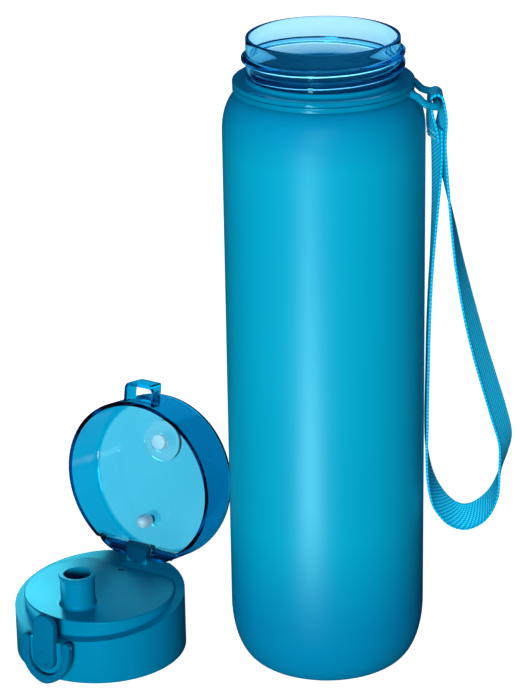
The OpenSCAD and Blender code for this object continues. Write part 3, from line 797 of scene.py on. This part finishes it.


# %% [markdown]
# ## Frosted and clear plastic
#
# The body is etched to a soft frost from the foot to the shoulder, so it scatters
# light and looks almost solid, while the flange and the neck above it stay polished.
# One material could change from one to the other by height, but a clear neck needs a
# volume that tints what is seen through it, and the frosted body doesn't. So the
# shell's faces carry two materials: frosted below the flange and polished above it.
# The polished one is painted a darker blue at the neck's root: painted shade for the
# dark inside of the bottle seen through it.

# %% Bottle finish
frost, shader = finish("frosted_bottle", IOR=1.5, Specular_IOR_Level=0.6,
                       Specular_Tint=(0.5, 1.0, 1.0), Transmission_Weight=0.04)
tone = noise(frost, 14, 2)
etched = ramp(frost, tone, [(0.3, (0.0, 0.30, 0.46)), (0.7, (0.0, 0.315, 0.48))])
# Painted shade: the body is painted a deeper blue at the foot and over the shoulder, where the key light
# falls off.
painted_shade_ends = ramp(frost, by_height(frost, 0.0, 0.25),
            [(0.10, 0.25), (0.26, 1.0), (0.88, 1.0), (0.97, 0.25)])
link(frost, blend(frost, painted_shade_ends, (0.0, 0.16, 0.34), etched), shader.inputs["Base Color"])
link(frost, ramp(frost, tone, [(0.2, 0.36), (0.8, 0.4)]), shader.inputs["Roughness"])
bump(frost, shader, noise(frost, 2600, 1), 0.12, 0.0002)
paint(bottle, frost)

polished, shader = finish("polished_neck", IOR=1.5, Specular_IOR_Level=0.5,
                          Specular_Tint=(0.25, 1.0, 1.0))
height = by_height(polished, 0.2492, 0.2610)
tone = noise(polished, 30, 2)
clean = ramp(polished, tone, [(0.3, (0.90, 0.965, 0.985)), (0.7, (0.93, 0.975, 0.99))])
# Painted shade: the neck's root is painted darker, for the dark inside seen through it.
painted_root_shade = ramp(polished, height, [(0.03, 0.0), (0.12, 0.30), (0.5, 0.72), (1, 1.0)])
link(polished, blend(polished, painted_root_shade, (0.0, 0.24, 0.42), clean), shader.inputs["Base Color"])
link(polished, ramp(polished, height, [(0, 0.25), (0.05, 1.0)]), shader.inputs["Transmission Weight"])
link(polished, ramp(polished, tone, [(0.2, 0.015), (0.8, 0.03)]), shader.inputs["Roughness"])
absorb(polished, (0.0, 0.76, 0.94), 560)
bottle.data.materials.append(polished)
clear_faces = [face for face in bottle.data.polygons if face.center.z > (FLANGE_LOW + 0.2) * MM]
for face in clear_faces:
    face.material_index = 1
print("polished faces", len(clear_faces))

# %% [markdown]
# ## Half-clear plastic of the collar
#
# The collar is moulded from the same blue as the bottle, a little cloudy. Full
# transmission would make a thin rod look like glass, and none would make it look like
# paint, so the shader passes a third of the light and a volume tints it.

# %% Collar finish
collar_clear, shader = finish("clear_collar", IOR=1.5, Transmission_Weight=0.3, Specular_Tint=(0.4, 1.0, 1.0))
tone = noise(collar_clear, 60, 2)
link(collar_clear, ramp(collar_clear, tone, [(0.3, (0.0, 0.24, 0.42)), (0.7, (0.0, 0.28, 0.47))]),
     shader.inputs["Base Color"])
link(collar_clear, ramp(collar_clear, tone, [(0.2, 0.12), (0.8, 0.2)]), shader.inputs["Roughness"])
absorb(collar_clear, (0.0, 0.80, 0.90), 300)
paint(ring, collar_clear)
paint(loop, collar_clear)
print("collar finish on", ring.name, "and", loop.name)

# %% [markdown]
# ## Weave and thread
#
# Webbing shows fine lengthwise ribs crossed by a slanting twill, between two closely
# woven edges. Real threads would cost millions of faces, so the weave is two sine
# waves over the strip's own UV map, which is in metres. They drive the roughness, a
# shallow bump and the colour, which also carries painted shade and highlight: darker in
# the hollows of the weave and paler on its crests. The sewing thread is a paler, rougher yarn.

# %% Webbing finish
RIB, TWILL, TWILL_SLANT = 0.0009, 0.0016, 0.0028
SELVEDGE_FROM = 0.0054
webbing, shader = finish("woven_webbing", Specular_IOR_Level=0.15, Specular_Tint=(0.5, 1.0, 1.0))
uv = node(webbing, "UVMap", uv_map="weave")
split = node(webbing, "SeparateXYZ")
link(webbing, uv.outputs["UV"], split.inputs["Vector"])
across, along = split.outputs["X"], split.outputs["Y"]
rib = maths(webbing, "SINE", maths(webbing, "MULTIPLY", across, 2 * math.pi / RIB))
slant = maths(webbing, "ADD", maths(webbing, "MULTIPLY", along, 2 * math.pi / TWILL),
              maths(webbing, "MULTIPLY", across, 2 * math.pi / TWILL_SLANT))
twill = maths(webbing, "SINE", slant)
weave = maths(webbing, "ADD", maths(webbing, "MULTIPLY", rib, 0.22),
              maths(webbing, "MULTIPLY", twill, 0.28))
weave = maths(webbing, "ADD", weave, 0.5)
selvedge = maths(webbing, "GREATER_THAN", maths(webbing, "ABSOLUTE", across), SELVEDGE_FROM)
weave = maths(webbing, "SUBTRACT", weave, maths(webbing, "MULTIPLY", selvedge, 0.35))
# Painted shade and highlight: the yarn's colour darkens in the weave's hollows and pales on its crests.
yarn_and_weave_shade = [(0.1, (0.0, 0.25, 0.46)), (0.5, (0.0, 0.46, 0.72)), (0.95, (0.06, 0.66, 0.88))]
link(webbing, ramp(webbing, weave, yarn_and_weave_shade), shader.inputs["Base Color"])
link(webbing, ramp(webbing, weave, [(0, 0.75), (1, 0.5)]), shader.inputs["Roughness"])
bump(webbing, shader, weave, 0.45, 0.0002)
paint(strap, webbing)
print("webbing nodes", len(webbing.node_tree.nodes))

# %% Thread finish
sewing, shader = finish("sewing_thread", Roughness=0.6)
strands = noise(sewing, 3000, 2, (1, 1, 4))
link(sewing, ramp(sewing, strands, [(0.3, (0.08, 0.46, 0.66)), (0.7, (0.25, 0.70, 0.85))]),
     shader.inputs["Base Color"])
bump(sewing, shader, strands, 0.5, 0.0001)
paint(stitching, sewing)
print("thread nodes", len(sewing.node_tree.nodes))

# %% [markdown]
# ## Satin plastic of the lid and latch
#
# The lid's base is an opaque, satin moulding. A faint noise in its colour and
# roughness keeps large faces from looking flat, and a very fine bump gives the spark
# eroded skin of a mould. The hinge post sits in the open cap's shade and is given
# painted shade: distance from the hinge picks it out and paints it a much darker blue.
# The button and the lock ring are given a darker blue.

# %% Lid and latch finish
satin, shader = finish("satin_lid", Specular_IOR_Level=0.5, Specular_Tint=(0.12, 1.0, 1.0))
tone = noise(satin, 40, 3)
plain = ramp(satin, tone, [(0.3, (0.0, 0.17, 0.315)), (0.7, (0.0, 0.185, 0.335))])
near = node(satin, "VectorMath", operation="DISTANCE")
link(satin, node(satin, "TexCoord").outputs["Object"], near.inputs[0])
near.inputs[1].default_value = LID @ (HINGE + Vector((0, 0, 0.0015)))
# Painted shade: the hinge post, shaded by the open cap, is painted a much darker blue.
painted_post_shade = ramp(satin, maths(satin, "MULTIPLY", near.outputs["Value"], 100), [(0.66, 0.0), (0.72, 1.0)])
link(satin, blend(satin, painted_post_shade, (0.0, 0.045, 0.105), plain), shader.inputs["Base Color"])
link(satin, ramp(satin, tone, [(0.2, 0.26), (0.8, 0.34)]), shader.inputs["Roughness"])
bump(satin, shader, noise(satin, 3500, 2), 0.06, 0.0001)

latch, shader = finish("satin_latch", Specular_IOR_Level=0.5, Specular_Tint=(0.12, 1.0, 1.0))
tone = noise(latch, 55, 3)
link(latch, ramp(latch, tone, [(0.3, (0.0, 0.115, 0.23)), (0.7, (0.0, 0.13, 0.25))]),
     shader.inputs["Base Color"])
link(latch, ramp(latch, tone, [(0.2, 0.28), (0.8, 0.38)]), shader.inputs["Roughness"])
bump(latch, shader, noise(latch, 3500, 2), 0.06, 0.0001)
print("lid nodes", len(satin.node_tree.nodes), "latch nodes", len(latch.node_tree.nodes))

# %% [markdown]
# ## The clear cap
#
# The cap is a polished cup of clear blue. Its side wall is seen edge on and looks
# deeper than its flat top, and the knuckle bar at the hinge is a thick block. Both are
# given painted shade: distance from the cap's own axis finds the wall, distance from
# the hinge's axis finds the knuckle, and each is painted a darker blue. The volume
# tint then deepens each of them with its thickness.

# %% Cap finish
clear, shader = finish("clear_cap", IOR=1.5, Transmission_Weight=1.0)
tone = noise(clear, 30, 2)
thin = ramp(clear, tone, [(0.3, (0.13, 0.57, 0.72)), (0.7, (0.17, 0.60, 0.75))])
# Painted shade: the side wall and the knuckle bar are painted a darker blue than the cap's top.
painted_wall_shade = ramp(clear, from_line(clear, CAP @ Vector((0, 0, 0)), CAP.to_3x3() @ Vector((0, 0, 1))),
            [(0.323, 0.0), (0.336, 1.0)])
thin_with_wall_shade = blend(clear, painted_wall_shade, thin, (0.0, 0.36, 0.56))
painted_knuckle_shade = ramp(clear, from_line(clear, CAP @ HINGE, CAP.to_3x3() @ Vector((1, 0, 0))),
               [(0.036, 1.0), (0.044, 0.0)])
link(clear, blend(clear, painted_knuckle_shade, thin_with_wall_shade, (0.0, 0.16, 0.30)), shader.inputs["Base Color"])
link(clear, ramp(clear, tone, [(0.2, 0.02), (0.8, 0.05)]), shader.inputs["Roughness"])
absorb(clear, (0.0, 0.79, 0.905), 420)
print("cap nodes", len(clear.node_tree.nodes))

# %% [markdown]
# ## Silicone and steel
#
# Seals are soft silicone. The plug and the vent tip are milky, so part of their light
# scatters below the surface, while the pad against the cap's top is water clear and
# bends light little. Pins and springs are bright drawn steel with a fine, stretched
# grain.

# %% Silicone and steel finishes
silicone, shader = finish("clear_silicone", IOR=1.41, Transmission_Weight=0.6, Subsurface_Weight=0.2)
tone = noise(silicone, 80, 2)
link(silicone, ramp(silicone, tone, [(0.3, (0.50, 0.82, 0.92)), (0.7, (0.62, 0.88, 0.95))]),
     shader.inputs["Base Color"])
link(silicone, ramp(silicone, tone, [(0.2, 0.25), (0.8, 0.4)]), shader.inputs["Roughness"])

jelly, shader = finish("water_clear_silicone", IOR=1.3, Transmission_Weight=1.0)
tone = noise(jelly, 50, 2)
link(jelly, ramp(jelly, tone, [(0.3, (0.93, 0.98, 0.99)), (0.7, (0.97, 0.99, 1.0))]),
     shader.inputs["Base Color"])
link(jelly, ramp(jelly, tone, [(0.2, 0.03), (0.8, 0.08)]), shader.inputs["Roughness"])

steel, shader = finish("spring_steel", Metallic=1.0)
tone = noise(steel, 900, 3, (1, 1, 0.1))
link(steel, ramp(steel, tone, [(0.3, (0.72, 0.74, 0.76)), (0.7, (0.86, 0.87, 0.88))]),
     shader.inputs["Base Color"])
link(steel, ramp(steel, tone, [(0.2, 0.16), (0.8, 0.3)]), shader.inputs["Roughness"])

for name, material in (("lid_base", satin), ("lid_gasket", silicone), ("hinge_pin", steel),
                       ("latch_pin", steel), ("flip_cap", clear)):
    paint(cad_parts[name], material)
for piece, material in ((pad, jelly), (seal_ring, jelly), (plug, silicone), (vent, silicone),
                        (wire, steel), (coil, steel), (button, latch), (lock, latch)):
    paint(piece, material)
print("finishes", len(bpy.data.materials))

# %% [markdown]
# ## Floor and light
#
# The bottle stands on a plain pale sweep in soft studio light. A wide, low key light
# stands a little left of the camera, so the round body is brightest left of its
# middle and falls away to both sides, and a weak one fills in from behind. A small
# glow inside the bottle stands for the light that frosted walls let through. The
# bands of sheen come from cards that only reflections see: one on the floor in front,
# two strips above the camera for the neck, and two blue ones that light only the lid's
# base, because the polished cap would mirror them whole when it is shut. The
# floor and the sky are pale for the camera and for what is seen through clear plastic,
# and deep for reflections, so that the forms stay deep.

# %% Floor
bpy.ops.object.select_all(action="DESELECT")
bpy.ops.mesh.primitive_plane_add(size=8)
floor = bpy.context.object
floor.name = "studio_floor"
pale, shader = finish("pale_floor", Roughness=0.9, Specular_IOR_Level=0.0)
rays = node(pale, "LightPath")
bounced = maths(pale, "ADD", rays.outputs["Is Diffuse Ray"], rays.outputs["Is Glossy Ray"])
bounced = maths(pale, "SUBTRACT", bounced, rays.outputs["Is Transmission Ray"])
link(pale, ramp(pale, bounced, [(0, 0.85), (1, (0.02, 0.12, 0.16))]), shader.inputs["Base Color"])
link(pale, ramp(pale, bounced, [(0, 0.93), (1, 0.0)]), shader.inputs["Emission Color"])
shader.inputs["Emission Strength"].default_value = 1.0
paint(floor, pale)
print("floor", floor.name)

# %% Sky
world = bpy.data.worlds.new("studio_world")
world.use_nodes = True
bpy.context.scene.world = world
sky = world.node_tree.nodes["Background"]
paths = world.node_tree.nodes.new("ShaderNodeLightPath")
seen = world.node_tree.nodes.new("ShaderNodeMix")
seen.data_type = "RGBA"
seen.inputs[6].default_value = (0.006, 0.05, 0.15, 1)
seen.inputs[7].default_value = (1, 1, 1, 1)
pale_to = world.node_tree.nodes.new("ShaderNodeMath")
world.node_tree.links.new(paths.outputs["Is Transmission Ray"], pale_to.inputs[0])
world.node_tree.links.new(paths.outputs["Is Camera Ray"], pale_to.inputs[1])
world.node_tree.links.new(pale_to.outputs[0], seen.inputs[0])
world.node_tree.links.new(seen.outputs[2], sky.inputs["Color"])
print("sky", world.name)


# %% Lamps
LID_BLUE = (0.12, 0.8, 1.0)
GLOW_BLUE = (0.3, 0.85, 1.0)


def sun(name, azimuth, elevation, strength, spread):
    """A distant soft light; azimuth 0 is behind the camera, positive to its right."""
    a, e = math.radians(azimuth), math.radians(elevation)
    source = Vector((math.sin(a) * math.cos(e), -math.cos(a) * math.cos(e), math.sin(e)))
    bpy.ops.object.light_add(type="SUN")
    lamp = bpy.context.object
    lamp.name = name
    lamp.data.energy = strength
    lamp.data.angle = math.radians(spread)
    lamp.rotation_euler = source.to_track_quat("Z", "Y").to_euler()
    return lamp


def softbox(name, place_at, aim, size, power):
    """A rectangular area light at place_at that faces aim."""
    bpy.ops.object.light_add(type="AREA", location=place_at)
    lamp = bpy.context.object
    lamp.name = name
    lamp.data.shape = "RECTANGLE"
    lamp.data.size, lamp.data.size_y = size
    lamp.data.energy = power
    lamp.rotation_euler = (Vector(aim) - Vector(place_at)).to_track_quat("-Z", "Y").to_euler()
    return lamp


sun("key", -12, 7, 4.8, 22).visible_glossy = False
sun("back_fill", 172, 20, 0.8, 40).visible_glossy = False
bpy.ops.object.light_add(type="POINT", location=(0, 0, 0.17))
glow = bpy.context.object
glow.name = "glow_through_walls"
glow.data.energy, glow.data.shadow_soft_size = 0.035, 0.02
glow.data.color = GLOW_BLUE
glow.visible_camera = glow.visible_glossy = glow.visible_transmission = False
glints = [softbox("deck_sheen", (-0.18, 0.2, 0.127), (-0.13, 0, 0.03), (0.12, 0.1), 0.04),
          softbox("floor_card", (-0.178, -0.509, 0.004), (-0.178, -0.509, 1), (0.08, 0.76), 1.7)]
glints[0].data.spread = math.radians(50)
glints[1].rotation_euler = (math.pi, 0, math.radians(-20))
glints.append(softbox("lid_card", (-0.175, 0.03, 0.002), (-0.175, 0.03, 1), (0.05, 0.09), 0.045))
lid_only = bpy.data.collections.new("lit_by_lid_cards")
lid_only.objects.link(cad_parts["lid_base"])
for lamp in (glints[0], glints[-1]):
    lamp.data.color = LID_BLUE
    lamp.light_linking.receiver_collection = lid_only
for k, x in enumerate((-0.16, -0.02)):
    glints.append(softbox(f"front_strip_{k}", (x, -0.62, 0.50), (0, 0, 0.25), (0.012, 0.04), 0.09))
for lamp in glints:
    lamp.visible_camera = lamp.visible_diffuse = lamp.visible_transmission = False
print("lamps", len(bpy.data.lights))

bpy.context.scene.view_settings.view_transform = "Standard"
